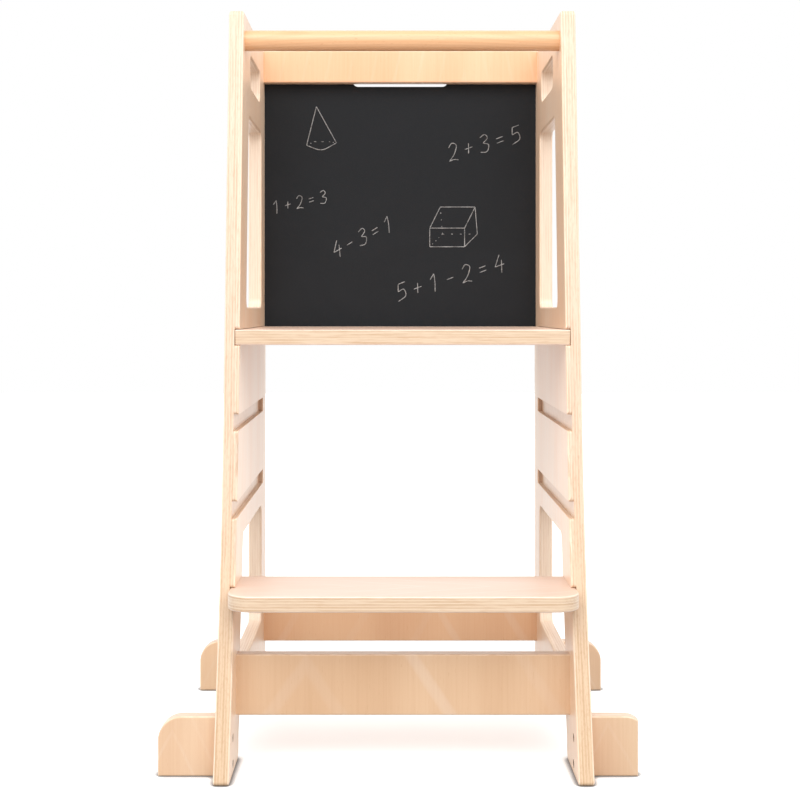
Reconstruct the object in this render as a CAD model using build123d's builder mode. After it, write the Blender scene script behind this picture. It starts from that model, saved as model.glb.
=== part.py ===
"""A birch-plywood learning tower with a lift-out chalkboard, a slide-out platform and a fixed step.

X runs across the tower, +Y from its front to its back and +Z up, in millimetres.
The origin is on the floor, at the middle of the tower's footprint.
"""

import os
from build123d import *

# ---------------------------------------------------------------- sheet and overall sizes
PLY = 18.0                    # plywood thickness of every board
INNER_WIDTH = 385.0           # clear width between the two side panels
HEIGHT = 889.0
FRONT_Y = -236.5              # where the sharp toe would be; the rounded toe ends 1.5 behind it
REAR_Y = 235.0
INNER_X = INNER_WIDTH / 2     # inner face of a side panel
OUTER_X = INNER_X + PLY       # outer face of a side panel

# ---------------------------------------------------------------- side panel outline
TOP_FRONT_Y = -73.0           # front edge at the very top
UPPER_LEAN = 0.124            # how far the upper front edge moves forward per unit of drop
LOWER_LEAN = 0.325            # the same for the leg, below the knee
KNEE_RADIUS = 1670.0          # the long curve that joins the two
TOP_CORNER_RADIUS = 7.0
TOE_RADIUS = 4.0
HEEL_RADIUS = 10.0
ARCH_FRONT_Y = -132.0         # the open arch between the front and the rear leg
ARCH_REAR_Y = 136.0
ARCH_TOP_Z = 55.0
ARCH_RADIUS = 38.0
PANEL_ARRIS = 2.5             # rounding of the panels' long edges

# ---------------------------------------------------------------- cut-outs of a side panel
HAND_SLOT_FRONT_Y = 10.0
HAND_SLOT_REAR_Y = 147.0
HAND_SLOT_LOW_Z = 809.0
HAND_SLOT_HIGH_Z = 849.0
HAND_SLOT_RADIUS = 12.0
UPPER_WINDOW_LOW_Z = 528.0
UPPER_WINDOW_HIGH_Z = 769.0
UPPER_STILE_DEPTH = 78.0      # wood left between the front edge and the upper window
LOWER_WINDOW_LOW_Z = 95.0
LOWER_WINDOW_HIGH_Z = 254.0
LOWER_WINDOW_FRONT_LOW_Y = -123.0
LOWER_WINDOW_FRONT_HIGH_Y = -78.0
WINDOW_REAR_Y = 169.0
WINDOW_RADIUS = 12.0

# ---------------------------------------------------------------- housings in the inner faces
HOUSING_DEPTH = 6.0
PLATFORM_FLOOR_Z = (283.0, 383.0, 483.0)   # the three heights that the platform fits
PLATFORM_SLOT_HEIGHT = 19.0
PLATFORM_SLOT_REAR_Y = 191.0
MOUTH_RADIUS = 3.5            # rounding where a slot opens through the front edge
STEP_FLOOR_Z = 188.0
STEP_REAR_Y = -97.0
STEP_FIT = 0.2                # play of the glued-up step in its housing
GROOVE_FRONT_Y = 218.5        # groove that holds the chalkboard, open at the top
GROOVE_WIDTH = 6.0
GROOVE_FLOOR_Z = 489.7
SOCKET_DEPTH = 8.0            # blind socket for the round hand rail

# ---------------------------------------------------------------- boards
HAND_RAIL_DIAMETER = 25.0
HAND_RAIL_SOCKET = 25.1
HAND_RAIL_Y = -55.0
HAND_RAIL_Z = 855.0
HAND_RAIL_END_GAP = 0.2
CROSSBAR_REAR_Y = 218.0
CROSSBAR_HEIGHT = 44.5
LOWER_RAIL_HEIGHT = 70.0
LOWER_RAIL_LOW_Z = 57.5
FRONT_RAIL_FACE_Y = -161.0
REAR_RAIL_FACE_Y = 205.0
RAIL_ARRIS = 2.0

PLATFORM_SIDE_PLAY = 0.3      # between each end of the platform and its slot
PLATFORM_FRONT_Y = -122.0
PLATFORM_REAR_Y = 190.0
PLATFORM_REST_GAP = 0.4       # the platform stays this clear of its slot's floor
PLATFORM_CORNER_RADIUS = 2.0
PLATFORM_ARRIS = 1.2

STEP_FRONT_Y = -220.0
STEP_CORNER_RADIUS = 28.0
STEP_ARRIS = 2.0

CHALKBOARD_THICKNESS = 5.0
CHALKBOARD_LOW_Z = 490.2
CHALKBOARD_HIGH_Z = 882.0
CHALKBOARD_WIDTH = 396.0
CHALKBOARD_ARRIS = 0.6
NOTCH_WIDTH = 135.0           # finger notch in the chalkboard's top edge
NOTCH_FLOOR_Z = 841.5
NOTCH_RADIUS = 8.0

# ---------------------------------------------------------------- stabiliser feet
FOOT_HEIGHT = 67.4
FOOT_LENGTH = 66.0
SHORT_FOOT_LENGTH = 54.0      # the front right foot is cut shorter than the other three
FOOT_RADIUS = 27.0
FOOT_ARRIS = 2.0
FRONT_FOOT_Y = -191.7         # middle of the foot's thickness
REAR_FOOT_Y = 169.0

# ---------------------------------------------------------------- fasteners
SCREW_LENGTH = 50.0
SCREW_CREST_DIAMETER = 6.8
SCREW_ROOT_DIAMETER = 5.2
SCREW_BORE = 7.0
SCREW_SHANK_LENGTH = 14.0     # smooth stretch under the head
SCREW_HEAD_DIAMETER = 10.0
SCREW_HEAD_BORE = 10.4
SCREW_HEAD_HEIGHT = 3.0
SCREW_POINT_LENGTH = 4.0
SCREW_TIP_DIAMETER = 2.4
THREAD_PITCH = 3.0
THREAD_FLANK = 0.5            # run of a thread's steep flank along the screw
THREAD_ROOT_FLAT = 1.0        # flat stretch between one thread and the next
HEX_SOCKET_RADIUS = 2.3
HEX_SOCKET_DEPTH = 2.6
HEAD_SINK = 0.4               # heads sit this far under the wood's surface
DOWEL_DIAMETER = 8.0
DOWEL_BORE = 8.1
DOWEL_LENGTH = 30.0
DOWEL_BORE_SPARE = 0.5        # glue room past each end of a dowel
DOWEL_CHAMFER = 1.0
DOWEL_PANEL_DEPTH = 12.0      # how much of a dowel is in the side panel

CROSSBAR_Y = CROSSBAR_REAR_Y - PLY / 2
CROSSBAR_Z = HEIGHT - CROSSBAR_HEIGHT / 2
FRONT_RAIL_Y = FRONT_RAIL_FACE_Y + PLY / 2
REAR_RAIL_Y = REAR_RAIL_FACE_Y + PLY / 2
LOWER_RAIL_Z = LOWER_RAIL_LOW_Z + LOWER_RAIL_HEIGHT / 2
STEP_Z = STEP_FLOOR_Z + PLY / 2
CROSSBAR_SCREW_RISE = 11.0    # the two screws at each end stand this far above and below the middle
LOWER_RAIL_SCREW_RISE = 23.0
CROSSBAR_SCREW_Z = (CROSSBAR_Z - CROSSBAR_SCREW_RISE, CROSSBAR_Z + CROSSBAR_SCREW_RISE)
LOWER_RAIL_SCREW_Z = (LOWER_RAIL_Z - LOWER_RAIL_SCREW_RISE, LOWER_RAIL_Z + LOWER_RAIL_SCREW_RISE)
STEP_SCREW_Y = (-155.0, -112.0)
FOOT_SCREW_Z = (11.5, 40.8)

# Each list holds (y, z) axes of screws or dowels, which all run along X.
HAND_RAIL_AXES = [(HAND_RAIL_Y, HAND_RAIL_Z)]
CROSSBAR_AXES = [(CROSSBAR_Y, z) for z in CROSSBAR_SCREW_Z]
FRONT_RAIL_AXES = [(FRONT_RAIL_Y, z) for z in LOWER_RAIL_SCREW_Z]
REAR_RAIL_AXES = [(REAR_RAIL_Y, z) for z in LOWER_RAIL_SCREW_Z]
STEP_AXES = [(y, STEP_Z) for y in STEP_SCREW_Y]
FRONT_FOOT_AXES = [(FRONT_FOOT_Y, z) for z in FOOT_SCREW_Z]
REAR_FOOT_AXES = [(REAR_FOOT_Y, z) for z in FOOT_SCREW_Z]
FRONT_DOWEL_AXES = [(FRONT_RAIL_Y, LOWER_RAIL_Z)]
REAR_DOWEL_AXES = [(REAR_RAIL_Y, LOWER_RAIL_Z)]

OUTER_SCREW_AXES = HAND_RAIL_AXES + CROSSBAR_AXES + FRONT_RAIL_AXES + REAR_RAIL_AXES + STEP_AXES
FOOT_SCREW_AXES = FRONT_FOOT_AXES + REAR_FOOT_AXES

SAME_HEIGHT = 0.01            # two heights closer than this are the same

os.makedirs("parts", exist_ok=True)


def upper_front_y(z):
    """Where the straight upper stretch of a side panel's front edge is, at height z."""
    return TOP_FRONT_Y - UPPER_LEAN * (HEIGHT - z)


def knee_point():
    """Where the upper front edge and the leg's front edge would cross without the knee curve."""
    z = (upper_front_y(0) - FRONT_Y) / (LOWER_LEAN - UPPER_LEAN)
    return FRONT_Y + LOWER_LEAN * z, z


def save(builder, name):
    """Label a finished piece and write its STEP file."""
    builder.part.label = name
    export_step(builder.part, f"parts/{name}.step")


# ================================================================ side panels
PANEL_CORNERS = [
    ((FRONT_Y, 0), TOE_RADIUS),
    ((ARCH_FRONT_Y, 0), HEEL_RADIUS),
    ((ARCH_FRONT_Y, ARCH_TOP_Z), ARCH_RADIUS),
    ((ARCH_REAR_Y, ARCH_TOP_Z), ARCH_RADIUS),
    ((ARCH_REAR_Y, 0), HEEL_RADIUS),
    ((REAR_Y, 0), TOE_RADIUS),
    ((REAR_Y, HEIGHT), TOP_CORNER_RADIUS),
    ((TOP_FRONT_Y, HEIGHT), TOP_CORNER_RADIUS),
    (knee_point(), KNEE_RADIUS),
]
UPPER_WINDOW_CORNERS = [
    (upper_front_y(UPPER_WINDOW_LOW_Z) + UPPER_STILE_DEPTH, UPPER_WINDOW_LOW_Z),
    (WINDOW_REAR_Y, UPPER_WINDOW_LOW_Z),
    (WINDOW_REAR_Y, UPPER_WINDOW_HIGH_Z),
    (upper_front_y(UPPER_WINDOW_HIGH_Z) + UPPER_STILE_DEPTH, UPPER_WINDOW_HIGH_Z),
]
LOWER_WINDOW_CORNERS = [
    (LOWER_WINDOW_FRONT_LOW_Y, LOWER_WINDOW_LOW_Z),
    (WINDOW_REAR_Y, LOWER_WINDOW_LOW_Z),
    (WINDOW_REAR_Y, LOWER_WINDOW_HIGH_Z),
    (LOWER_WINDOW_FRONT_HIGH_Y, LOWER_WINDOW_HIGH_Z),
]
HAND_SLOT_CORNERS = [
    (HAND_SLOT_FRONT_Y, HAND_SLOT_LOW_Z),
    (HAND_SLOT_REAR_Y, HAND_SLOT_LOW_Z),
    (HAND_SLOT_REAR_Y, HAND_SLOT_HIGH_Z),
    (HAND_SLOT_FRONT_Y, HAND_SLOT_HIGH_Z),
]
CUT_OUTS = [
    (UPPER_WINDOW_CORNERS, WINDOW_RADIUS),
    (LOWER_WINDOW_CORNERS, WINDOW_RADIUS),
    (HAND_SLOT_CORNERS, HAND_SLOT_RADIUS),
]
# Each horizontal slot that opens through the front edge: floor height, height and rear end.
OPEN_SLOTS = [(z, PLATFORM_SLOT_HEIGHT, PLATFORM_SLOT_REAR_Y) for z in PLATFORM_FLOOR_Z]
OPEN_SLOTS.append((STEP_FLOOR_Z, PLY + STEP_FIT, STEP_REAR_Y + STEP_FIT))

with BuildSketch(Plane.YZ) as panel_profile:
    with BuildLine():
        corners, radii = zip(*PANEL_CORNERS)
        FilletPolyline(*corners, radius=radii, close=True)
    make_face()
    for cut_out_corners, cut_out_radius in CUT_OUTS:
        with BuildLine():
            FilletPolyline(*cut_out_corners, radius=cut_out_radius, close=True)
        make_face(mode=Mode.SUBTRACT)

SLOT_EDGE_HEIGHTS = [z for floor_z, height, _ in OPEN_SLOTS for z in (floor_z, floor_z + height)]


def at_slot_mouth(corner):
    """Whether a corner of the slotted profile is where a slot opens through the front edge."""
    near_front = corner.X < upper_front_y(corner.Y) + PLY
    return near_front and any(abs(corner.Y - z) < SAME_HEIGHT for z in SLOT_EDGE_HEIGHTS)


# The panel's section through its slots: their mouths are rounded where they meet the front edge.
with BuildSketch(Plane.YZ) as slotted_profile:
    add(panel_profile.sketch_local)
    for floor_z, slot_height, slot_rear_y in OPEN_SLOTS:
        slot_length = slot_rear_y - FRONT_Y
        with Locations((slot_rear_y - slot_length / 2, floor_z + slot_height / 2)):
            Rectangle(slot_length, slot_height, mode=Mode.SUBTRACT)
    fillet(slotted_profile.vertices().filter_by(at_slot_mouth), MOUTH_RADIUS)

with BuildPart() as left_side_panel:
    with BuildSketch(Plane.YZ.offset(-OUTER_X)):
        add(panel_profile.sketch_local)
    extrude(amount=PLY)
    face_edges = left_side_panel.faces().filter_by(Axis.X).edges()
    fillet(face_edges, PANEL_ARRIS)
    # platform slots and step housing
    with BuildSketch(Plane.YZ.offset(-INNER_X)):
        add(panel_profile.sketch_local)
        add(slotted_profile.sketch_local, mode=Mode.SUBTRACT)
    extrude(amount=-HOUSING_DEPTH, mode=Mode.SUBTRACT)
    # chalkboard groove, open at the top
    with BuildSketch(Plane.YZ.offset(-INNER_X)):
        with Locations((GROOVE_FRONT_Y, GROOVE_FLOOR_Z)):
            Rectangle(GROOVE_WIDTH, HEIGHT - GROOVE_FLOOR_Z, align=(Align.MIN, Align.MIN))
    extrude(amount=-HOUSING_DEPTH, mode=Mode.SUBTRACT)
    # blind sockets for the hand rail and the dowels
    with BuildSketch(Plane.YZ.offset(-INNER_X)):
        with Locations((HAND_RAIL_Y, HAND_RAIL_Z)):
            Circle(HAND_RAIL_SOCKET / 2)
    extrude(amount=-SOCKET_DEPTH, mode=Mode.SUBTRACT)
    with BuildSketch(Plane.YZ.offset(-INNER_X)):
        with Locations(*FRONT_DOWEL_AXES, *REAR_DOWEL_AXES):
            Circle(DOWEL_BORE / 2)
    extrude(amount=-(DOWEL_PANEL_DEPTH + DOWEL_BORE_SPARE), mode=Mode.SUBTRACT)
    # screw holes: the rails' screws enter from outside, the feet's screws from inside
    for face_x, inward, axes in ((-OUTER_X, 1, OUTER_SCREW_AXES), (-INNER_X, -1, FOOT_SCREW_AXES)):
        with BuildSketch(Plane.YZ.offset(face_x)):
            with Locations(*axes):
                Circle(SCREW_BORE / 2)
        extrude(amount=inward * PLY, mode=Mode.SUBTRACT)
        with BuildSketch(Plane.YZ.offset(face_x)):
            with Locations(*axes):
                Circle(SCREW_HEAD_BORE / 2)
        extrude(amount=inward * (SCREW_HEAD_HEIGHT + HEAD_SINK), mode=Mode.SUBTRACT)
save(left_side_panel, "left_side_panel")

with BuildPart() as right_side_panel:
    mirror(left_side_panel.part, about=Plane.YZ)
save(right_side_panel, "right_side_panel")


# ================================================================ round hand rail
HAND_RAIL_END_X = INNER_X + SOCKET_DEPTH - HAND_RAIL_END_GAP
SCREW_END_X = OUTER_X - HEAD_SINK - SCREW_LENGTH

with BuildPart() as hand_rail:
    with BuildSketch(Plane.YZ.offset(-HAND_RAIL_END_X)):
        with Locations((HAND_RAIL_Y, HAND_RAIL_Z)):
            Circle(HAND_RAIL_DIAMETER / 2)
    extrude(amount=2 * HAND_RAIL_END_X)
    for face_x in (-HAND_RAIL_END_X, HAND_RAIL_END_X):
        inward = -1 if face_x > 0 else 1
        with BuildSketch(Plane.YZ.offset(face_x)):
            with Locations(*HAND_RAIL_AXES):
                Circle(SCREW_BORE / 2)
        extrude(amount=inward * (HAND_RAIL_END_X - SCREW_END_X), mode=Mode.SUBTRACT)
save(hand_rail, "hand_rail")


# ================================================================ flat rails between the panels
def flat_rail(front_y, low_z, height, screw_axes, dowel_axes):
    """A board on edge between the side panels, bored at both ends for its screws and dowels."""
    with BuildPart() as rail:
        with BuildSketch(Plane.YZ.offset(-INNER_X)):
            with Locations((front_y, low_z)):
                Rectangle(PLY, height, align=(Align.MIN, Align.MIN))
        extrude(amount=INNER_WIDTH)
        fillet(rail.edges().filter_by(Axis.X), RAIL_ARRIS)
        bores = [
            (screw_axes, SCREW_BORE, INNER_X - SCREW_END_X),
            (dowel_axes, DOWEL_BORE, DOWEL_LENGTH - DOWEL_PANEL_DEPTH + DOWEL_BORE_SPARE),
        ]
        for axes, diameter, depth in bores:
            for side in (-1, 1):
                if axes:
                    with BuildSketch(Plane.YZ.offset(side * INNER_X)):
                        with Locations(*axes):
                            Circle(diameter / 2)
                    extrude(amount=-side * depth, mode=Mode.SUBTRACT)
    return rail


rear_crossbar = flat_rail(
    CROSSBAR_REAR_Y - PLY, HEIGHT - CROSSBAR_HEIGHT, CROSSBAR_HEIGHT, CROSSBAR_AXES, []
)
save(rear_crossbar, "rear_crossbar")

front_lower_rail = flat_rail(
    FRONT_RAIL_FACE_Y, LOWER_RAIL_LOW_Z, LOWER_RAIL_HEIGHT, FRONT_RAIL_AXES, FRONT_DOWEL_AXES
)
save(front_lower_rail, "front_lower_rail")

rear_lower_rail = flat_rail(
    REAR_RAIL_FACE_Y, LOWER_RAIL_LOW_Z, LOWER_RAIL_HEIGHT, REAR_RAIL_AXES, REAR_DOWEL_AXES
)
save(rear_lower_rail, "rear_lower_rail")


# ================================================================ platform
PLATFORM_LOW_Z = PLATFORM_FLOOR_Z[-1] + PLATFORM_REST_GAP
PLATFORM_WIDTH = 2 * (INNER_X + HOUSING_DEPTH - PLATFORM_SIDE_PLAY)
PLATFORM_DEPTH = PLATFORM_REAR_Y - PLATFORM_FRONT_Y

with BuildPart() as platform:
    with BuildSketch(Plane.XY.offset(PLATFORM_LOW_Z)):
        with Locations((0, PLATFORM_FRONT_Y)):
            Rectangle(PLATFORM_WIDTH, PLATFORM_DEPTH, align=(Align.CENTER, Align.MIN))
    extrude(amount=PLY)
    fillet(platform.edges().filter_by(Axis.Z), PLATFORM_CORNER_RADIUS)
    fillet(platform.faces().filter_by(Axis.Z).edges(), PLATFORM_ARRIS)
save(platform, "platform")


# ================================================================ step
STEP_END_X = INNER_X + HOUSING_DEPTH - STEP_FIT

with BuildPart() as step_board:
    with BuildSketch(Plane.XY.offset(STEP_FLOOR_Z)):
        with Locations((0, STEP_FRONT_Y)):
            Rectangle(2 * STEP_END_X, STEP_REAR_Y - STEP_FRONT_Y, align=(Align.CENTER, Align.MIN))
    extrude(amount=PLY)
    front_corners = step_board.edges().filter_by(Axis.Z).group_by(Axis.Y)[0]
    fillet(front_corners, STEP_CORNER_RADIUS)
    fillet(step_board.faces().filter_by(Axis.Z).edges(), STEP_ARRIS)
    for side in (-1, 1):
        with BuildSketch(Plane.YZ.offset(side * STEP_END_X)):
            with Locations(*STEP_AXES):
                Circle(SCREW_BORE / 2)
        extrude(amount=-side * (STEP_END_X - SCREW_END_X), mode=Mode.SUBTRACT)
save(step_board, "step_board")


# ================================================================ chalkboard
CHALKBOARD_FRONT_Y = GROOVE_FRONT_Y + (GROOVE_WIDTH - CHALKBOARD_THICKNESS) / 2
CHALKBOARD_HEIGHT = CHALKBOARD_HIGH_Z - CHALKBOARD_LOW_Z
NOTCH_DEPTH = CHALKBOARD_HIGH_Z - NOTCH_FLOOR_Z

with BuildPart() as chalkboard:
    with BuildSketch(Plane.XZ.offset(-CHALKBOARD_FRONT_Y)):
        with Locations((0, CHALKBOARD_HIGH_Z)):
            Rectangle(CHALKBOARD_WIDTH, CHALKBOARD_HEIGHT, align=(Align.CENTER, Align.MAX))
            Rectangle(NOTCH_WIDTH, NOTCH_DEPTH, align=(Align.CENTER, Align.MAX), mode=Mode.SUBTRACT)
    extrude(amount=-CHALKBOARD_THICKNESS)
    corners_through_board = chalkboard.edges().filter_by(Axis.Y)
    notch_corners = corners_through_board.filter_by(lambda edge: abs(edge.center().X) < NOTCH_WIDTH)
    fillet(notch_corners, NOTCH_RADIUS)
    chamfer(chalkboard.faces().filter_by(Axis.Y).edges(), CHALKBOARD_ARRIS)
save(chalkboard, "chalkboard")


# ================================================================ stabiliser feet
def stabiliser_foot(side, middle_y, length, screw_axes):
    """A board on edge that stands out sideways from a leg; its outer top corner is round."""
    inner_end = Align.MIN if side > 0 else Align.MAX
    with BuildPart() as foot:
        with BuildSketch(Plane.XZ.offset(PLY / 2 - middle_y)) as outline:
            with Locations((side * OUTER_X, 0)):
                Rectangle(FOOT_LENGTH, FOOT_HEIGHT, align=(inner_end, Align.MIN))
            outer_top = outline.vertices().sort_by(lambda corner: abs(corner.X) + corner.Y)[-1]
            fillet(outer_top, FOOT_RADIUS)
            with Locations((side * OUTER_X, 0)):
                Rectangle(length, FOOT_HEIGHT, align=(inner_end, Align.MIN), mode=Mode.INTERSECT)
        extrude(amount=-PLY)
        face_edges = foot.faces().filter_by(Axis.Y).edges()
        free_edges = face_edges.filter_by(lambda edge: abs(edge.center().X) > OUTER_X + FOOT_ARRIS)
        fillet(free_edges, FOOT_ARRIS)
        with BuildSketch(Plane.YZ.offset(side * OUTER_X)):
            with Locations(*screw_axes):
                Circle(SCREW_BORE / 2)
        extrude(amount=side * (SCREW_LENGTH + HEAD_SINK - PLY), mode=Mode.SUBTRACT)
    return foot


FEET = [
    ("front_left_foot", -1, FRONT_FOOT_Y, FOOT_LENGTH, FRONT_FOOT_AXES),
    ("front_right_foot", 1, FRONT_FOOT_Y, SHORT_FOOT_LENGTH, FRONT_FOOT_AXES),
    ("rear_left_foot", -1, REAR_FOOT_Y, FOOT_LENGTH, REAR_FOOT_AXES),
    ("rear_right_foot", 1, REAR_FOOT_Y, FOOT_LENGTH, REAR_FOOT_AXES),
]
for foot_name, foot_side, foot_y, foot_length, foot_axes in FEET:
    save(stabiliser_foot(foot_side, foot_y, foot_length, foot_axes), foot_name)


# ================================================================ screws and dowels
def screw_outline():
    """(along, radius) points of a screw's half section, from the middle of its head to its tip."""
    shank_end = SCREW_HEAD_HEIGHT + SCREW_SHANK_LENGTH
    thread_end = SCREW_LENGTH - SCREW_POINT_LENGTH
    turns = int((thread_end - shank_end) / THREAD_PITCH)
    points = [(0, 0), (0, SCREW_HEAD_DIAMETER / 2), (SCREW_HEAD_HEIGHT, SCREW_HEAD_DIAMETER / 2)]
    points += [(SCREW_HEAD_HEIGHT, SCREW_CREST_DIAMETER / 2), (shank_end, SCREW_CREST_DIAMETER / 2)]
    for turn in range(turns):
        crest = shank_end + (turn + 1) * THREAD_PITCH - THREAD_FLANK
        root_end = crest - THREAD_FLANK
        points.append((root_end - THREAD_ROOT_FLAT, SCREW_ROOT_DIAMETER / 2))
        points.append((root_end, SCREW_ROOT_DIAMETER / 2))
        points.append((crest, SCREW_CREST_DIAMETER / 2))
    points += [(thread_end, SCREW_ROOT_DIAMETER / 2), (SCREW_LENGTH, SCREW_TIP_DIAMETER / 2)]
    points.append((SCREW_LENGTH, 0))
    return points


with BuildPart() as panel_screw:
    with BuildSketch(Plane.XY):
        with BuildLine():
            Polyline(*screw_outline(), close=True)
        make_face()
    revolve(axis=Axis.X)
    with BuildSketch(Plane.YZ):
        RegularPolygon(HEX_SOCKET_RADIUS, 6)
    extrude(amount=HEX_SOCKET_DEPTH, mode=Mode.SUBTRACT)

with BuildPart() as locating_dowel:
    Cylinder(DOWEL_DIAMETER / 2, DOWEL_LENGTH, rotation=(0, 90, 0))
    chamfer(locating_dowel.edges().filter_by(GeomType.CIRCLE), DOWEL_CHAMFER)


def matching_pairs(piece, x, axes):
    """Copies of a piece at one X, and their mirror images on the other side of the tower."""
    with BuildPart() as group:
        with Locations(*[(x, y, z) for y, z in axes]):
            add(piece.part)
        mirror(group.part, about=Plane.YZ)
    return group


RAIL_SCREW_X = HEAD_SINK - OUTER_X      # left ends: heads outside, pointing inwards
FOOT_SCREW_X = INNER_X + HEAD_SINK      # right ends: heads inside, pointing outwards
DOWEL_X = INNER_X + DOWEL_PANEL_DEPTH - DOWEL_LENGTH / 2
FASTENERS = [
    ("hand_rail_screws", panel_screw, RAIL_SCREW_X, HAND_RAIL_AXES),
    ("crossbar_screws", panel_screw, RAIL_SCREW_X, CROSSBAR_AXES),
    ("front_rail_screws", panel_screw, RAIL_SCREW_X, FRONT_RAIL_AXES),
    ("rear_rail_screws", panel_screw, RAIL_SCREW_X, REAR_RAIL_AXES),
    ("step_screws", panel_screw, RAIL_SCREW_X, STEP_AXES),
    ("front_foot_screws", panel_screw, FOOT_SCREW_X, FRONT_FOOT_AXES),
    ("rear_foot_screws", panel_screw, FOOT_SCREW_X, REAR_FOOT_AXES),
    ("front_rail_dowels", locating_dowel, DOWEL_X, FRONT_DOWEL_AXES),
    ("rear_rail_dowels", locating_dowel, DOWEL_X, REAR_DOWEL_AXES),
]
for fastener_name, fastener, fastener_x, fastener_axes in FASTENERS:
    save(matching_pairs(fastener, fastener_x, fastener_axes), fastener_name)
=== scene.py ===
"""The learning tower's looks: birch plywood, chalkboard and steel finishes, chalk marks, floor,
light and camera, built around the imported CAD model. Lengths are in metres and +Z is up.
"""

import math
import random
from collections import namedtuple

import bpy
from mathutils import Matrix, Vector


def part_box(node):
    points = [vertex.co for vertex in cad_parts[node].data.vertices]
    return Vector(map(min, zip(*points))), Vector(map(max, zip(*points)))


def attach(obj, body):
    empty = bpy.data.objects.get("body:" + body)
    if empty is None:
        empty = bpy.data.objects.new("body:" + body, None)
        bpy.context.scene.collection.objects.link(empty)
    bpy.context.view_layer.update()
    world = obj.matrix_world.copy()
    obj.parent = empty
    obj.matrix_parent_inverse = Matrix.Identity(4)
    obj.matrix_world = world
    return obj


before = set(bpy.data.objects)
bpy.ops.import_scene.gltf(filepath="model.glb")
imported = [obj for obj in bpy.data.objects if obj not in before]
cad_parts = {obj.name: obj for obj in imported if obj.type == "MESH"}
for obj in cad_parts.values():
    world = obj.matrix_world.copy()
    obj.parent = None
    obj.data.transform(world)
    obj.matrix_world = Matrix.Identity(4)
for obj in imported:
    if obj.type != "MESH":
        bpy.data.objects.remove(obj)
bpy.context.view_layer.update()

MM = 0.001
AXES = "XYZ"


# ================================================================ shader helpers
def colour(red, green, blue):
    """A linear colour from the 0 to 255 values of a screen colour."""
    channels = []
    for value in (red, green, blue):
        share = value / 255
        channels.append(share / 12.92 if share <= 0.04045 else ((share + 0.055) / 1.055) ** 2.4)
    return (*channels, 1.0)


class NodeTree:
    """The nodes of a world or a material, with short calls that add nodes and join them."""

    def __init__(self, owner):
        owner.use_nodes = True
        self.nodes = owner.node_tree.nodes
        self.links = owner.node_tree.links

    def feed(self, socket, source):
        """Join a source socket to a socket, or set a constant on it."""
        if isinstance(source, bpy.types.NodeSocket):
            self.links.new(source, socket)
        else:
            socket.default_value = source

    def math(self, operation, *sources):
        """A sum, product or other number made from the sources, which are sockets or constants."""
        node = self.nodes.new("ShaderNodeMath")
        node.operation = operation
        for socket, source in zip(node.inputs, sources):
            self.feed(socket, source)
        return node.outputs[0]


class Finish(NodeTree):
    """A material and its Principled shader."""

    def __init__(self, name):
        self.material = bpy.data.materials.new(name)
        super().__init__(self.material)
        self.shader = self.nodes["Principled BSDF"]

    def set(self, name, source):
        """Feed one input of the Principled shader."""
        self.feed(self.shader.inputs[name], source)

    def place(self):
        """Object coordinates, which are the CAD frame's own and move with the body."""
        return self.nodes.new("ShaderNodeTexCoord").outputs["Object"]

    def facing(self):
        """How squarely the surface faces along each axis, from 0 to 1, by axis letter."""
        parts = self.split(self.nodes.new("ShaderNodeTexCoord").outputs["Normal"])
        return {axis: self.math("ABSOLUTE", part) for axis, part in parts.items()}

    def split(self, vector):
        """The X, Y and Z of a vector, by axis letter."""
        node = self.nodes.new("ShaderNodeSeparateXYZ")
        self.feed(node.inputs[0], vector)
        return {axis: node.outputs[axis] for axis in AXES}

    def stretch(self, vector, scales, shift=(0.0, 0.0, 0.0)):
        """A vector scaled by a factor for each axis, then shifted."""
        node = self.nodes.new("ShaderNodeVectorMath")
        node.operation = "MULTIPLY_ADD"
        self.feed(node.inputs[0], vector)
        node.inputs[1].default_value = scales
        node.inputs[2].default_value = shift
        return node.outputs[0]

    def noise(self, vector, scale=1.0, detail=2.0, distortion=0.0):
        """Soft noise about 0.5; scale is roughly how many of its blobs fit in a metre."""
        node = self.nodes.new("ShaderNodeTexNoise")
        self.feed(node.inputs["Vector"], vector)
        node.inputs["Scale"].default_value = scale
        node.inputs["Detail"].default_value = detail
        node.inputs["Distortion"].default_value = distortion
        return node.outputs["Fac"]

    def fibre_noise(self, place, axis, along, across, shift=(0.0, 0.0, 0.0), detail=2.0):
        """Noise that runs like grain: one scale along an axis and another across it, per metre."""
        scales = tuple(along if letter == axis else across for letter in AXES)
        return self.noise(self.stretch(place, scales, shift), detail=detail)

    def ramp(self, value, start, end, low=0.0, high=1.0):
        """A smooth step: low up to start, high from end on."""
        node = self.nodes.new("ShaderNodeMapRange")
        node.interpolation_type = "SMOOTHSTEP"
        self.feed(node.inputs["Value"], value)
        node.inputs["From Min"].default_value = start
        node.inputs["From Max"].default_value = end
        node.inputs["To Min"].default_value = low
        node.inputs["To Max"].default_value = high
        return node.outputs["Result"]

    def mix(self, factor, first, second, blend="MIX"):
        """A blend of two colours."""
        node = self.nodes.new("ShaderNodeMix")
        node.data_type = "RGBA"
        node.blend_type = blend
        factor_socket = node.inputs[0]
        first_socket, second_socket = [s for s in node.inputs if s.type == "RGBA"]
        self.feed(factor_socket, factor)
        self.feed(first_socket, first)
        self.feed(second_socket, second)
        return [s for s in node.outputs if s.type == "RGBA"][0]

    def bump(self, height, distance, strength=1.0):
        """Fine relief from a height that runs from 0 to 1 over the distance."""
        node = self.nodes.new("ShaderNodeBump")
        node.inputs["Distance"].default_value = distance
        node.inputs["Strength"].default_value = strength
        self.feed(node.inputs["Height"], height)
        self.set("Normal", node.outputs["Normal"])


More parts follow.
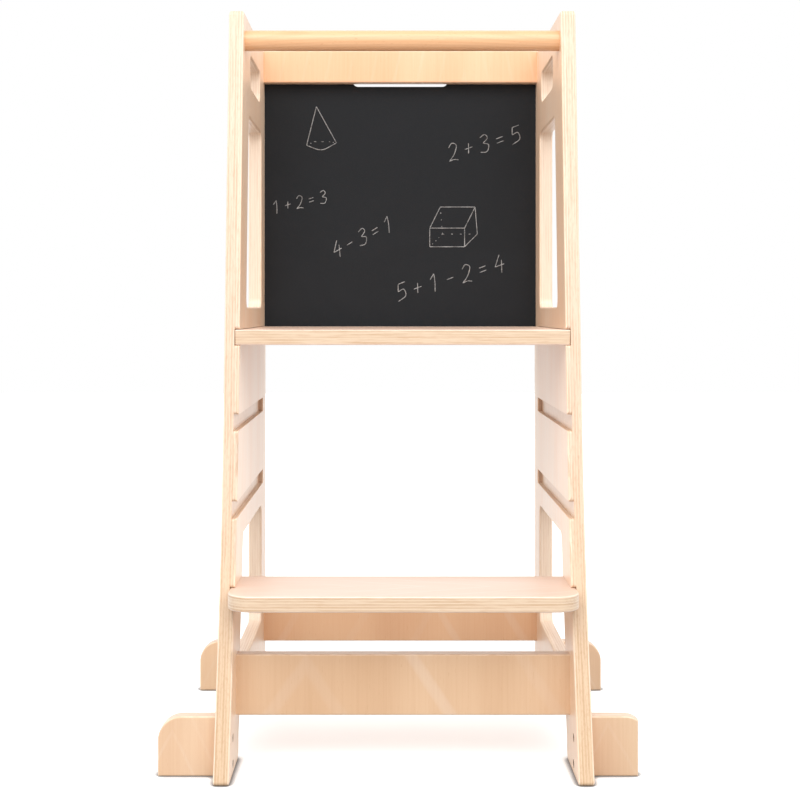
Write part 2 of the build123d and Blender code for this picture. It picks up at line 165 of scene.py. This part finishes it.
# ================================================================ birch plywood
PLIES = 11
FACE_PLY = (0.85, 0.95)       # depths in plies between which the face gives way to the layers
GLUE_SHARE = 0.16             # part of a ply's thickness that a glue line takes up
PLY_WANDER = 0.45             # how far the layers wander, in plies
FLAME_WAVE = 30 * MM          # how far the contours of the figure wander
SQUARE_ON = (0.80, 0.95)      # a surface counts as facing an axis from here to here
ARRIS_BEGINS = (0.15, 0.45)   # a rounded arris turns away from the edge over this squareness
ARRIS_ENDS = (0.97, 0.80)     # and joins the face over this one
LACQUER = 0.9                 # how fully the lacquer covers the wood
LACQUER_ROUGHNESS = 0.38
VENEER_RELIEF = 0.05 * MM
EDGE_PALE = colour(235, 210, 187)
EDGE_TAN = colour(221, 189, 160)
EDGE_GLUE = colour(180, 138, 104)
ROUTED_PALE = colour(238, 207, 176)
ROUTED_TAN = colour(222, 188, 154)
SLOT_END = colour(190, 156, 122)
SLOT_END_REACH = (4 * MM, 3 * MM)   # the darkening begins and is full this near the slots' end
WORN = colour(250, 232, 212)        # bare wood on rubbed arrises and on the panels' back edges
LEG_PAINTED_SHADE = colour(238, 233, 218)    # painted shade: darkens and warms the front legs' edges towards the floor
LEG_SHADE_HEIGHTS = (0.45, 0.05)     # the heights where the painted shade begins and is full
FRONT_LEG_DEPTHS = (-0.02, -0.08)   # and the depths, so that it keeps to the front legs
PALE_BACK_DEPTHS = (0.10, 0.16)     # the panels' edges grow paler between these depths
SHADE = (0.0, 0.0, 0.0, 1.0)
LIGHT = (1.0, 1.0, 1.0, 1.0)


def veneer_colour(finish, place, board, seed):
    """The rotary-cut face: soft broad bands, pale flame-shaped contours, fine fibres and flecks."""
    grain, flame, tint, pale = board.grain, board.flame, board.tint, board.pale
    cross = [axis for axis in AXES if axis not in (board.thickness, grain)][0]
    shift = (seed * 3.1, seed * 1.7, seed * 2.3)
    broad = finish.fibre_noise(place, grain, 3.0, 11.0, shift, detail=1.5)
    base = finish.mix(finish.ramp(broad, 0.30, 0.70), tint, pale)
    spots = finish.split(place)
    aside = finish.math("ABSOLUTE", finish.math("SUBTRACT", spots[cross], flame.centre))
    below = finish.math("SUBTRACT", spots[grain], flame.top)
    contour = finish.math("MULTIPLY_ADD", aside, flame.slope, below)
    wave = finish.fibre_noise(place, grain, 5.0, 16.0, shift, detail=1.0)
    wave = finish.math("SUBTRACT", wave, 0.5)
    contour = finish.math("MULTIPLY_ADD", wave, FLAME_WAVE, contour)
    rings = finish.math("COSINE", finish.math("MULTIPLY", contour, 2 * math.pi / flame.spacing))
    patches = finish.fibre_noise(place, grain, 7.0, 9.0, shift, detail=0.0)
    patches = finish.ramp(patches, 0.40, 0.60, 0.35, 1.0)
    rings = finish.math("MULTIPLY", finish.ramp(rings, 0.86, 1.0), patches)
    base = finish.mix(finish.math("MULTIPLY", rings, flame.strength), base, LIGHT)
    fibres = finish.fibre_noise(place, grain, 9.0, 420.0, shift, detail=3.0)
    base = finish.mix(finish.ramp(fibres, 0.35, 0.75, 0.0, 0.10), base, SHADE, "SOFT_LIGHT")
    flecks = finish.fibre_noise(place, grain, 110.0, 900.0, shift, detail=1.0)
    base = finish.mix(finish.ramp(flecks, 0.68, 0.78, 0.0, 0.18), base, tint, "MULTIPLY")
    return base, fibres


def edge_colour(finish, place, board, ply_position, seed):
    """The layered edge: long and cross plies by turns, with broken glue lines between them."""
    layer = finish.math("FLOOR", ply_position)
    crossing = finish.math("MODULO", layer, 2.0)
    white_noise = finish.nodes.new("ShaderNodeTexWhiteNoise")
    white_noise.noise_dimensions = "1D"
    finish.feed(white_noise.inputs["W"], finish.math("ADD", layer, seed + 0.5))
    layer_tone = white_noise.outputs["Value"]
    fading = finish.fibre_noise(place, board.thickness, 420.0, 16.0)
    contrast = finish.ramp(fading, 0.35, 0.65, 0.1, 1.0)
    pores = finish.fibre_noise(place, board.grain, 60.0, 700.0)
    base = finish.mix(finish.math("MULTIPLY", crossing, contrast), EDGE_PALE, EDGE_TAN)
    base = finish.mix(finish.ramp(layer_tone, 0.0, 1.0, 0.0, 0.18), base, SHADE, "SOFT_LIGHT")
    base = finish.mix(finish.ramp(pores, 0.45, 0.75, 0.0, 0.30), base, EDGE_TAN, "MULTIPLY")
    into_layer = finish.math("FRACT", ply_position)
    glue = finish.math("MULTIPLY", finish.ramp(into_layer, GLUE_SHARE, GLUE_SHARE * 0.4), contrast)
    base = finish.mix(finish.math("MULTIPLY", glue, 0.55), base, EDGE_GLUE)
    return finish.mix(1.0, base, board.edge_tone, "MULTIPLY"), glue


def routed_colour(finish, place, grain):
    """The floor of a routed housing: a bare inner ply with fine cutter marks."""
    marks = finish.fibre_noise(place, grain, 90.0, 520.0)
    return finish.mix(finish.ramp(marks, 0.35, 0.7), ROUTED_PALE, ROUTED_TAN)


def slot_end(finish, spots, facing):
    """Where a side panel's front-facing walls near the end of its platform slots are made darker.
    """
    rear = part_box("platform")[1].y
    away = finish.math("ABSOLUTE", finish.math("SUBTRACT", spots["Y"], rear))
    near_end = finish.ramp(away, *SLOT_END_REACH)
    return finish.math("MULTIPLY", near_end, finish.ramp(facing["Y"], *SQUARE_ON))


def panel_edge(finish, edge, spots, facing):
    """A side panel's own edge tones: dark slot ends, painted shade on the front legs towards the
    floor, and a paler back.
    """
    edge = finish.mix(slot_end(finish, spots, facing), edge, SLOT_END, "MULTIPLY")
    # painted shade: the front legs' edges grow darker and warmer towards the floor
    low_down = finish.ramp(spots["Z"], *LEG_SHADE_HEIGHTS)
    front_leg_shade = finish.math("MULTIPLY", low_down, finish.ramp(spots["Y"], *FRONT_LEG_DEPTHS))
    edge = finish.mix(front_leg_shade, edge, LEG_PAINTED_SHADE, "MULTIPLY")
    return finish.mix(finish.ramp(spots["Y"], *PALE_BACK_DEPTHS, 0.0, 0.45), edge, WORN)


def layer_position(finish, place, through):
    """How far through the board a spot is, counted in plies, with layers that wander a little."""
    wander = finish.noise(place, 9.0, detail=3.0)
    wander = finish.math("MULTIPLY", finish.math("SUBTRACT", wander, 0.5), PLY_WANDER)
    return finish.math("MULTIPLY_ADD", through, float(PLIES), wander)


def rubbed_arris(finish, place, squareness):
    """How worn a spot is: only on rounded arrises, and patchy along them."""
    off_edge = finish.ramp(squareness, *ARRIS_BEGINS)
    off_face = finish.ramp(squareness, *ARRIS_ENDS)
    rounded = finish.math("MULTIPLY", off_edge, off_face)
    rubbing = finish.noise(place, 70.0, detail=3.0)
    return finish.math("MULTIPLY", rounded, finish.ramp(rubbing, 0.35, 0.6, 0.15, 0.5))


def plywood(node, board, seed):
    """A birch plywood finish for one board, layered through the board's own thickness."""
    finish = Finish("plywood_" + node)
    index = AXES.index(board.thickness)
    low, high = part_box(node)
    place = finish.place()
    spots = finish.split(place)
    facing = finish.facing()
    squareness = facing[board.thickness]
    through = finish.math("SUBTRACT", spots[board.thickness], low[index])
    through = finish.math("DIVIDE", through, high[index] - low[index])
    ply_position = layer_position(finish, place, through)
    veneer, fibres = veneer_colour(finish, place, board, seed)
    edge, glue = edge_colour(finish, place, board, ply_position, seed)
    from_middle = finish.math("ABSOLUTE", finish.math("SUBTRACT", ply_position, PLIES / 2))
    under_face = finish.ramp(from_middle, *(PLIES / 2 - depth for depth in FACE_PLY))
    if node.endswith("side_panel"):
        edge = panel_edge(finish, edge, spots, facing)
    routed = routed_colour(finish, place, board.grain)
    edge = finish.mix(finish.ramp(squareness, *SQUARE_ON), edge, routed)
    worn = rubbed_arris(finish, place, squareness)
    finish.set("Base Color", finish.mix(worn, finish.mix(under_face, veneer, edge), WORN))
    roughness = finish.ramp(fibres, 0.3, 0.8, 0.46, 0.60)
    finish.set("Roughness", finish.math("MULTIPLY_ADD", worn, 0.2, roughness))
    finish.set("Coat Weight", LACQUER)
    finish.set("Coat Roughness", LACQUER_ROUGHNESS)
    finish.set("Specular IOR Level", 0.2)
    raised = finish.math("MULTIPLY", fibres, 0.6)
    sunk = finish.math("MULTIPLY", glue, 0.5)
    finish.bump(finish.math("SUBTRACT", raised, sunk), VENEER_RELIEF, 0.5)
    return finish.material


# A veneer's flame figure: where it is centred across the grain, how high its tip stands along the
# grain, how steep its sides are, how far apart its contours lie and how strongly they show.
Flame = namedtuple("Flame", "centre top slope spacing strength")

# A plywood board: its thickness axis, the grain axis of its faces, its flame figure, its veneer's
# main and paler colours, and a tone laid over its layered edges.
Board = namedtuple("Board", "thickness grain flame tint pale edge_tone")

PANEL_TINTS = (colour(246, 212, 180), colour(250, 224, 198))
WARM_TINTS = (colour(238, 184, 141), colour(246, 202, 164))
RAIL_TINTS = (colour(212, 172, 134), colour(224, 188, 152))
BACK_TINTS = (colour(226, 178, 138), colour(238, 194, 154))
TREAD_TINTS = (colour(225, 193, 171), colour(235, 209, 191))
FOOT_TINTS = (colour(223, 187, 153), colour(233, 203, 172))
# painted shade: a darker copy of the feet's tints, for the front right foot
SHADED_FOOT_TINTS = (colour(211, 174, 141), colour(221, 190, 157))
PALE_TINTS = (colour(238, 201, 163), colour(246, 214, 180))
TREAD_EDGE = colour(245, 246, 240)

PLYWOOD_BOARDS = {
    "left_side_panel": Board("X", "Z", Flame(0.03, 0.80, 3.5, 0.12, 0.13), *PANEL_TINTS, LIGHT),
    "right_side_panel": Board("X", "Z", Flame(-0.02, 0.70, 4.0, 0.13, 0.13), *PANEL_TINTS, LIGHT),
    "rear_crossbar": Board("Y", "Z", Flame(0.09, 0.86, 5.0, 0.16, 0.07), *WARM_TINTS, LIGHT),
    "front_lower_rail": Board("Y", "Z", Flame(-0.112, 0.118, 1.5, 0.19, 0.10), *RAIL_TINTS, LIGHT),
    "rear_lower_rail": Board("Y", "Z", Flame(0.05, 0.110, 1.6, 0.15, 0.08), *BACK_TINTS, LIGHT),
    "platform": Board("Z", "X", Flame(0.02, 0.05, 2.4, 0.09, 0.10), *TREAD_TINTS, TREAD_EDGE),
    "step_board": Board("Z", "X", Flame(-0.16, 0.02, 2.6, 0.08, 0.10), *TREAD_TINTS, TREAD_EDGE),
    "front_left_foot": Board("Y", "Z", Flame(-0.26, 0.05, 2.0, 0.06, 0.08), *FOOT_TINTS, LIGHT),
    "front_right_foot": Board("Y", "Z", Flame(0.23, 0.06, 2.0, 0.06, 0.08), *SHADED_FOOT_TINTS, LIGHT),
    "rear_left_foot": Board("Y", "Z", Flame(-0.25, 0.05, 2.0, 0.06, 0.08), *PALE_TINTS, LIGHT),
    "rear_right_foot": Board("Y", "Z", Flame(0.24, 0.06, 2.0, 0.06, 0.08), *FOOT_TINTS, LIGHT),
}


# ================================================================ other finishes
RAIL_BEECH = (colour(230, 177, 128), colour(208, 148, 98))
DOWEL_BEECH = (colour(236, 200, 160), colour(205, 160, 116))
RING_SPACING = 3.2 * MM
RING_WARP = 4 * MM            # how far the growth rings wander
RING_STRETCH = (0.12, 1.0, 1.0)     # the rings taper a little along the rail
BEECH_RELIEF = 0.04 * MM
COATING = (colour(33, 35, 38), colour(38, 40, 43))
CHALK_DUST = colour(66, 66, 65)
DUST_STRETCH = (5.0, 1.0, 9.0)
HARDBOARD = (colour(84, 58, 40), colour(124, 92, 66))
CORE_DEPTHS = (2.1 * MM, 1.9 * MM)  # the coating ends and the core begins, from the middle
COATING_RELIEF = 0.03 * MM
CHALK = (colour(92, 92, 92), colour(176, 176, 176))
CHALK_RELIEF = 0.08 * MM
BRONZED_STEEL = (colour(66, 44, 32), colour(120, 92, 72))
STEEL_RELIEF = 0.03 * MM


def solid_beech(name, pith_y, pith_z, tint, dark):
    """Solid round beech: growth rings about a pith outside the rod, long fibres and ray flecks."""
    finish = Finish(name)
    place = finish.place()
    rings_place = finish.stretch(place, RING_STRETCH, (0.0, -pith_y, -pith_z))
    distance = finish.nodes.new("ShaderNodeVectorMath")
    distance.operation = "LENGTH"
    finish.feed(distance.inputs[0], rings_place)
    warp = finish.math("MULTIPLY", finish.fibre_noise(place, "X", 4.0, 30.0), RING_WARP)
    radius = finish.math("ADD", distance.outputs["Value"], warp)
    rings = finish.math("SINE", finish.math("MULTIPLY", radius, 2 * math.pi / RING_SPACING))
    base = finish.mix(finish.ramp(rings, -0.2, 1.0, 0.0, 0.3), tint, dark)
    fibres = finish.fibre_noise(place, "X", 14.0, 520.0, detail=3.0)
    base = finish.mix(finish.ramp(fibres, 0.4, 0.75, 0.0, 0.25), base, dark)
    flecks = finish.fibre_noise(place, "X", 150.0, 1100.0, detail=1.0)
    base = finish.mix(finish.ramp(flecks, 0.66, 0.76, 0.0, 0.35), base, dark, "MULTIPLY")
    finish.set("Base Color", base)
    finish.set("Roughness", finish.ramp(fibres, 0.3, 0.8, 0.34, 0.48))
    finish.set("Coat Weight", 1.0)
    finish.set("Coat Roughness", 0.40)
    finish.bump(fibres, BEECH_RELIEF, 0.4)
    return finish.material


def chalkboard_paint():
    """Matt slate-grey coating with wiped chalk dust, over a brown hardboard core."""
    finish = Finish("chalkboard_coat")
    place = finish.place()
    low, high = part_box("chalkboard")
    through = finish.math("SUBTRACT", finish.split(place)["Y"], (low.y + high.y) / 2)
    core = finish.ramp(finish.math("ABSOLUTE", through), *CORE_DEPTHS)
    dust = finish.noise(finish.stretch(place, DUST_STRETCH), detail=4.0, distortion=1.2)
    speckle = finish.noise(place, 900.0, detail=2.0)
    coat = finish.mix(finish.ramp(dust, 0.35, 0.75), *COATING)
    coat = finish.mix(finish.ramp(speckle, 0.5, 0.8, 0.0, 0.25), coat, CHALK_DUST)
    pressed = finish.noise(place, 1400.0, detail=3.0)
    board = finish.mix(finish.ramp(pressed, 0.3, 0.7), *HARDBOARD)
    finish.set("Base Color", finish.mix(core, coat, board))
    finish.set("Roughness", finish.ramp(dust, 0.3, 0.8, 0.72, 0.86))
    finish.set("Specular IOR Level", 0.15)
    finish.bump(speckle, COATING_RELIEF, 0.6)
    return finish.material


def chalk():
    """Dry white chalk, patchy where it skipped over the board."""
    finish = Finish("chalk")
    place = finish.place()
    grit = finish.noise(place, 1500.0, detail=3.0)
    patches = finish.noise(place, 160.0, detail=2.0)
    patchy = finish.math("MULTIPLY", patches, 0.4)
    cover = finish.ramp(finish.math("MULTIPLY_ADD", grit, 0.6, patchy), 0.36, 0.62)
    finish.set("Base Color", finish.mix(cover, *CHALK))
    finish.set("Roughness", finish.ramp(grit, 0.3, 0.7, 0.85, 0.98))
    finish.set("Specular IOR Level", 0.1)
    finish.bump(grit, CHALK_RELIEF)
    return finish.material


def screw_steel():
    """Bronzed steel with patchy brushed wear."""
    finish = Finish("screw_steel")
    place = finish.place()
    scuffs = finish.fibre_noise(place, "X", 300.0, 900.0, detail=3.0)
    rubbed = finish.ramp(scuffs, 0.45, 0.75)
    finish.set("Base Color", finish.mix(rubbed, *BRONZED_STEEL))
    finish.set("Metallic", 0.3)
    finish.set("Roughness", finish.ramp(scuffs, 0.3, 0.7, 0.48, 0.62))
    finish.set("Specular IOR Level", 0.2)
    finish.bump(scuffs, STEEL_RELIEF, 0.5)
    return finish.material


def coat_nodes():
    """Give every CAD node its finish."""
    finishes = {}
    for seed, (node, board) in enumerate(PLYWOOD_BOARDS.items()):
        finishes[node] = plywood(node, board, seed)
    rail_low, rail_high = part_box("hand_rail")
    rail_radius = (rail_high.z - rail_low.z) / 2
    pith_y = rail_high.y + rail_radius
    pith_z = rail_low.z - rail_radius
    finishes["hand_rail"] = solid_beech("rail_beech", pith_y, pith_z, *RAIL_BEECH)
    dowel = solid_beech("dowel_beech", pith_y, 0.0, *DOWEL_BEECH)
    steel = screw_steel()
    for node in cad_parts:
        if node.endswith("_dowels"):
            finishes[node] = dowel
        if node.endswith("_screws"):
            finishes[node] = steel
    finishes["chalkboard"] = chalkboard_paint()
    for node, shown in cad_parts.items():
        shown.data.materials.clear()
        shown.data.materials.append(finishes[node])


# ================================================================ chalk marks
STROKE_WIDTH = 1.25 * MM
STROKE_HEIGHT = 0.25 * MM
STROKE_SINK = 0.05 * MM       # how far a stroke's underside is sunk in the board's coating
STROKE_STEP = 1.2 * MM        # spacing of the cross-sections along a stroke
STROKE_TIP = 0.55             # a stroke's width at its two ends, against its middle
UPRIGHT_LEAN = 0.35           # how far numerals lean back as their line climbs

# Numerals and signs as pen strokes in a cell one unit high, from its lower left corner.
GLYPHS = {
    "1": [[(0.05, 0.72), (0.28, 0.98)], [(0.28, 0.98), (0.30, 0.50), (0.26, 0.0)]],
    "2": [
        [(0.02, 0.78), (0.22, 0.98), (0.46, 0.80), (0.30, 0.36), (0.0, 0.04)],
        [(0.0, 0.04), (0.26, 0.08), (0.52, 0.0)],
    ],
    "3": [
        [(0.04, 0.88), (0.30, 0.98), (0.44, 0.76), (0.18, 0.54)],
        [(0.18, 0.54), (0.48, 0.38), (0.36, 0.04), (0.0, 0.08)],
    ],
    "4": [[(0.30, 1.0), (0.02, 0.40)], [(0.02, 0.40), (0.54, 0.44)], [(0.40, 0.70), (0.36, 0.0)]],
    "5": [
        [(0.10, 0.96), (0.48, 1.0)],
        [(0.10, 0.96), (0.06, 0.56)],
        [(0.06, 0.56), (0.38, 0.62), (0.46, 0.24), (0.02, 0.04)],
    ],
    "+": [[(0.02, 0.46), (0.46, 0.50)], [(0.26, 0.74), (0.22, 0.20)]],
    "-": [[(0.04, 0.46), (0.42, 0.50)]],
    "=": [[(0.04, 0.58), (0.42, 0.62)], [(0.06, 0.34), (0.44, 0.38)]],
}


def smooth_line(points):
    """Points at even steps along a smooth curve through the given ones."""
    ends = [2 * points[0] - points[1], *points, 2 * points[-1] - points[-2]]
    line = [points[0]]
    for before, start, end, after in zip(ends, ends[1:], ends[2:], ends[3:]):
        steps = max(2, round((end - start).length / STROKE_STEP))
        for step in range(1, steps + 1):
            t = step / steps
            bend = (2 * before - 5 * start + 4 * end - after) * t * t
            turn = (3 * start - before - 3 * end + after) * t * t * t
            line.append((2 * start + (end - before) * t + bend + turn) / 2)
    return line


def add_stroke(vertices, faces, points, draw):
    """One chalk line as a low closed ridge on the board's front face."""
    front_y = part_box("chalkboard")[0].y
    line = smooth_line(points)
    first = len(vertices)
    for number, centre in enumerate(line):
        heading = line[min(number + 1, len(line) - 1)] - line[max(number - 1, 0)]
        side = Vector((-heading.y, heading.x)).normalized()
        at_end = number in (0, len(line) - 1)
        width = STROKE_WIDTH * draw.uniform(0.8, 1.15) * (STROKE_TIP if at_end else 1.0)
        height = STROKE_HEIGHT * draw.uniform(0.6, 1.0)
        section = ((-0.5, -STROKE_SINK), (-0.25, height), (0.25, height), (0.5, -STROKE_SINK))
        for across, rise in section:
            spot = centre + side * width * across
            vertices.append((spot.x, front_y - rise, spot.y))
    for number in range(len(line) - 1):
        here = first + 4 * number
        for corner in range(4):
            after = (corner + 1) % 4
            faces.append((here + corner, here + after, here + 4 + after, here + 4 + corner))
    last = first + 4 * (len(line) - 1)
    faces.append((first + 3, first + 2, first + 1, first))
    faces.append((last, last + 1, last + 2, last + 3))


def dashed(start, end, dashes, share):
    """Short strokes spread evenly from start to end; share is the drawn part of each."""
    step = (end - start) / dashes
    return [[start + step * number, start + step * (number + share)] for number in range(dashes)]


def sum_strokes(text, start, size, advance, slope):
    """A row of numerals and signs that climbs to the right."""
    strokes = []
    heading = Vector((math.cos(slope), math.sin(slope)))
    up = Vector((-UPRIGHT_LEAN * math.sin(slope), 1.0))
    for place, sign in enumerate(text):
        corner = start + heading * advance * place
        for stroke in GLYPHS[sign]:
            strokes.append([corner + heading * x * size + up * z * size for x, z in stroke])
    return strokes


def cone_strokes(apex, left, right, sag):
    """A cone: two sides, the near half of its base solid and the far half dashed."""
    middle = (left + right) / 2
    near = middle - Vector((0, sag))
    far_left = middle + Vector((0.25 * (left.x - right.x), 0.45 * sag))
    far_right = middle + Vector((0.25 * (right.x - left.x), 0.45 * sag))
    strokes = [[left, (left + apex) / 2, apex], [apex, (apex + right) / 2, right]]
    strokes.append([left, near, right])
    for start, end in ((left, far_left), (far_left, far_right), (far_right, right)):
        strokes += dashed(start, end, 2, 0.3)
    return strokes


def cuboid_strokes(corner, width, height, back_top, back_low):
    """A hand-drawn cuboid seen from the right and above, with its hidden edges dashed.

    The back corners lie off the front ones by back_top at the top and back_low at the bottom.
    """
    across = Vector((width, 0))
    up = Vector((0, height))
    lower_left, lower_right = corner, corner + across
    upper_left, upper_right = corner + up, corner + across + up
    top_left, top_right = upper_left + back_top, upper_right + back_top
    low_left, low_right = lower_left + back_low, lower_right + back_low
    outline = [lower_left, lower_right, upper_right, upper_left, lower_left]
    strokes = [list(ends) for ends in zip(outline, outline[1:])]
    strokes += [[upper_left, top_left], [upper_right, top_right], [top_left, top_right]]
    strokes += [[top_right, low_right], [low_right, lower_right]]
    for end in (lower_left, top_left, low_right):
        strokes += dashed(low_left, end, 4, 0.2)
    return strokes


def draw_on_board(name, strokes, material, seed):
    """Turn a drawing's strokes into one piece that moves with the chalkboard."""
    draw = random.Random(seed)
    vertices, faces = [], []
    for stroke in strokes:
        add_stroke(vertices, faces, stroke, draw)
    mesh = bpy.data.meshes.new(name)
    mesh.from_pydata(vertices, [], faces)
    mesh.validate()
    mesh.materials.append(material)
    drawing = bpy.data.objects.new(name, mesh)
    bpy.context.scene.collection.objects.link(drawing)
    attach(drawing, "chalkboard")


# Places on the board are (across from its middle, above its lower edge).
CONE_APEX = (-119 * MM, 323 * MM)
CONE_BASE = ((-133 * MM, 268 * MM), (-90.5 * MM, 271.5 * MM))
CONE_SAG = 8 * MM             # how far the near half of the cone's base hangs down
CUBOID_CORNER = (42 * MM, 124 * MM)
CUBOID_SIZE = (49.5 * MM, 26.5 * MM)
CUBOID_BACK_TOP = (15 * MM, 30 * MM)
CUBOID_BACK_LOW = (18 * MM, 18 * MM)

# A sum: its piece, its text, where it starts, how high its numerals are, how far apart they
# start, and how many degrees the line climbs.
Sum = namedtuple("Sum", "piece text start size advance slope")

SUMS = (
    Sum("chalk_sum_left", "1+2=3", (-180 * MM, 170 * MM), 19 * MM, 17 * MM, 12),
    Sum("chalk_sum_middle", "4-3=1", (-93 * MM, 106 * MM), 24 * MM, 20 * MM, 26),
    Sum("chalk_sum_right", "2+3=5", (70 * MM, 244 * MM), 26 * MM, 23 * MM, 15),
    Sum("chalk_sum_low", "5+1-2=4", (-3 * MM, 45 * MM), 26 * MM, 24 * MM, 16),
)


def chalk_marks():
    """A cone, a cuboid and four sums, placed from the board's middle and its lower edge."""
    low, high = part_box("chalkboard")
    material = chalk()

    def on_board(place):
        """A place on the board, in the CAD frame's X and Z."""
        return Vector(((low.x + high.x) / 2 + place[0], low.z + place[1]))

    base_left, base_right = (on_board(end) for end in CONE_BASE)
    backs = (Vector(CUBOID_BACK_TOP), Vector(CUBOID_BACK_LOW))
    drawings = {
        "chalk_cone": cone_strokes(on_board(CONE_APEX), base_left, base_right, CONE_SAG),
        "chalk_cuboid": cuboid_strokes(on_board(CUBOID_CORNER), *CUBOID_SIZE, *backs),
    }
    for row in SUMS:
        start, slope = on_board(row.start), math.radians(row.slope)
        drawings[row.piece] = sum_strokes(row.text, start, row.size, row.advance, slope)
    for seed, (name, strokes) in enumerate(drawings.items()):
        draw_on_board(name, strokes, material, seed)


# ================================================================ floor, light and camera
FLOOR_SIZE = 14
FLOOR_SEEN = (0.94, 0.94, 0.94, 1.0)
FLOOR_BOUNCE = (0.30, 0.29, 0.28, 1.0)     # what it throws back onto the object is dimmer
FLOOR_LIFT = 0.40             # a faint glow that keeps the floor's shadows pale
CONTACT_REACH = 11 * MM       # how far the painted contact shadow under a foot reaches
CONTACT_SHADE = (0.30, 0.29, 0.29, 1.0)    # painted shadow: the floor's colour where a foot stands on it
CONTACT_OPENNESS = (0.45, 1.0)      # how open the floor is there, and clear of the foot
SURROUND_SEEN = 1.0           # how bright the surround is to the camera
SURROUND_LIGHT = 0.85         # what the surround sheds on the object
SURROUND_MIRRORED = 1.05      # how bright it is in the lacquer
KEYS = (("key_left", 0.97, -50), ("key_right", 0.90, 50))     # name, strength, turn about Z
KEY_PLACE = (0, -1.6, 2.4)
KEY_TILT = 55
KEY_SOFTNESS = 70             # the angle in degrees that each key seems to fill
FRONT_PLACE = (0, -1.4, 1.7)
FRONT_TILT = 45
FRONT_POWER = 18.0
FRONT_SIZE = 1.6
CAMERA_PLACE = (-0.0173, -1.798, 0.5261)
CAMERA_TILT = 90              # level
LENS = 63.9
SENSOR_WIDTH = 36.0
FRAME_SHIFT = (0.015, -0.114)


def floor():
    """A large pale studio floor: white, with a painted contact shadow, a thin dark line round
    whatever stands on it.
    """
    bpy.ops.mesh.primitive_plane_add(size=FLOOR_SIZE)
    plane = bpy.context.object
    plane.name = "floor"
    finish = Finish("studio_floor")
    path = finish.nodes.new("ShaderNodeLightPath")
    seen = finish.math("MAXIMUM", path.outputs["Is Camera Ray"], path.outputs["Is Glossy Ray"])
    # painted contact shadow: the floor darkens and its glow fades where ambient occlusion finds
    # something standing close
    contact_shadow = finish.nodes.new("ShaderNodeAmbientOcclusion")
    contact_shadow.inputs["Distance"].default_value = CONTACT_REACH
    openness = finish.ramp(contact_shadow.outputs["AO"], *CONTACT_OPENNESS)
    shown = finish.mix(openness, CONTACT_SHADE, FLOOR_SEEN)
    glowing = finish.math("MULTIPLY", seen, openness)
    finish.set("Base Color", finish.mix(seen, FLOOR_BOUNCE, shown))
    finish.set("Emission Color", finish.mix(glowing, SHADE, LIGHT))
    finish.set("Emission Strength", FLOOR_LIFT)
    finish.material.cycles.emission_sampling = "NONE"
    finish.set("Roughness", 0.9)
    finish.set("Specular IOR Level", 0.0)
    plane.data.materials.append(finish.material)


def add_light(name, kind, energy, location, tilt, turn=0):
    """A light that points down, tilted towards the back and turned about Z, both in degrees."""
    data = bpy.data.lights.new(name, kind)
    data.energy = energy
    holder = bpy.data.objects.new(name, data)
    holder.location = location
    holder.rotation_euler = (math.radians(tilt), 0, math.radians(turn))
    bpy.context.scene.collection.objects.link(holder)
    return holder


def even_surround():
    """A white surround with its own level for the camera, for reflections and for its light."""
    world = bpy.data.worlds.new("studio")
    bpy.context.scene.world = world
    tree = NodeTree(world)
    path = tree.nodes.new("ShaderNodeLightPath")
    strength = SURROUND_LIGHT
    for kind, level in (("Is Camera Ray", SURROUND_SEEN), ("Is Glossy Ray", SURROUND_MIRRORED)):
        strength = tree.math("MULTIPLY_ADD", path.outputs[kind], level - SURROUND_LIGHT, strength)
    background = tree.nodes["Background"]
    tree.feed(background.inputs["Color"], LIGHT)
    tree.feed(background.inputs["Strength"], strength)


def studio_light():
    """The surround, two very soft keys from the left and right, and a soft light in front."""
    even_surround()
    for name, energy, turn in KEYS:
        key = add_light(name, "SUN", energy, KEY_PLACE, KEY_TILT, turn)
        key.data.angle = math.radians(KEY_SOFTNESS)
    front = add_light("front", "AREA", FRONT_POWER, FRONT_PLACE, FRONT_TILT)
    front.data.size = FRONT_SIZE
    front.visible_camera = False
    bpy.context.scene.view_settings.view_transform = "Standard"


def camera():
    """A level view from the front, a little left of the middle and above half height."""
    data = bpy.data.cameras.new("camera")
    data.sensor_width = SENSOR_WIDTH
    data.lens = LENS
    data.shift_x, data.shift_y = FRAME_SHIFT
    holder = bpy.data.objects.new("camera", data)
    holder.location = CAMERA_PLACE
    holder.rotation_euler = (math.radians(CAMERA_TILT), 0, 0)
    bpy.context.scene.collection.objects.link(holder)
    bpy.context.scene.camera = holder


camera()
coat_nodes()
chalk_marks()
floor()
studio_light()
